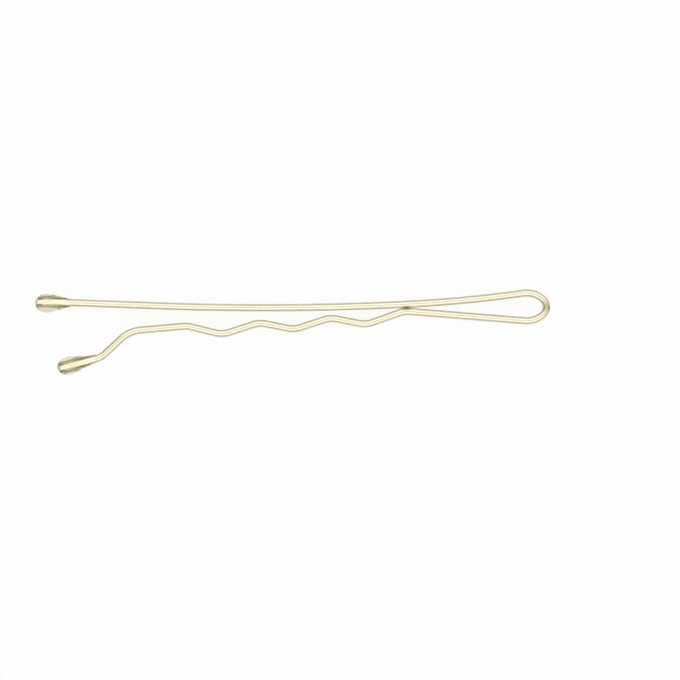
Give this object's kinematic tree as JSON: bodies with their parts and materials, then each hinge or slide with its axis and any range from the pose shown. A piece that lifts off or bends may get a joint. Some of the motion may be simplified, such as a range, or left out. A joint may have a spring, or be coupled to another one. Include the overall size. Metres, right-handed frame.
{
  "type": "bobby pin",
  "caption": "Flat-wire bobby pin: a straight leg and a crimped leg spring from a rounded bow and grip a lock of hair, with clear resin beads on the tips.",
  "frame": {"origin": "under the middle of the pin's box as it lies on its side, on the surface that its beads rest on", "axes": "+X along the pin from the tips to the bow, +Y across the legs towards the straight leg, +Z across the wire's width, up from the surface it lies on"},
  "size_m": [0.051, 0.0084, 0.0018],
  "materials": {
    "lacquered_wire": "pale champagne-gold lacquer over steel wire, glossy",
    "clear_resin": "clear, faintly amber, glossy"
  },
  "bodies": {
    "bow": {"bow": "lacquered_wire"},
    "straight_leg": {"straight_leg": "lacquered_wire", "straight_tip_bead": "clear_resin"},
    "crimped_leg": {"crimped_leg": "lacquered_wire", "crimped_tip_bead": "clear_resin"}
  },
  "joints": [
    {"name": "crimped_leg_flex", "type": "hinge", "parent": "bow", "child": "crimped_leg", "pos_m": [0.02321, 0.00071, 0.00092], "axis": [0, 0, 1], "range_deg": [0, 7], "stiffness_Nm_per_rad": 0.4},
    {"name": "straight_leg_flex", "type": "hinge", "parent": "bow", "child": "straight_leg", "pos_m": [0.02321, 0.00419, 0.00092], "axis": [0, 0, -1], "range_deg": [0, 7], "stiffness_Nm_per_rad": 0.4}
  ],
  "couplings": [
    {"joint": "straight_leg_flex", "follows": "crimped_leg_flex", "ratio": 1}
  ]
}
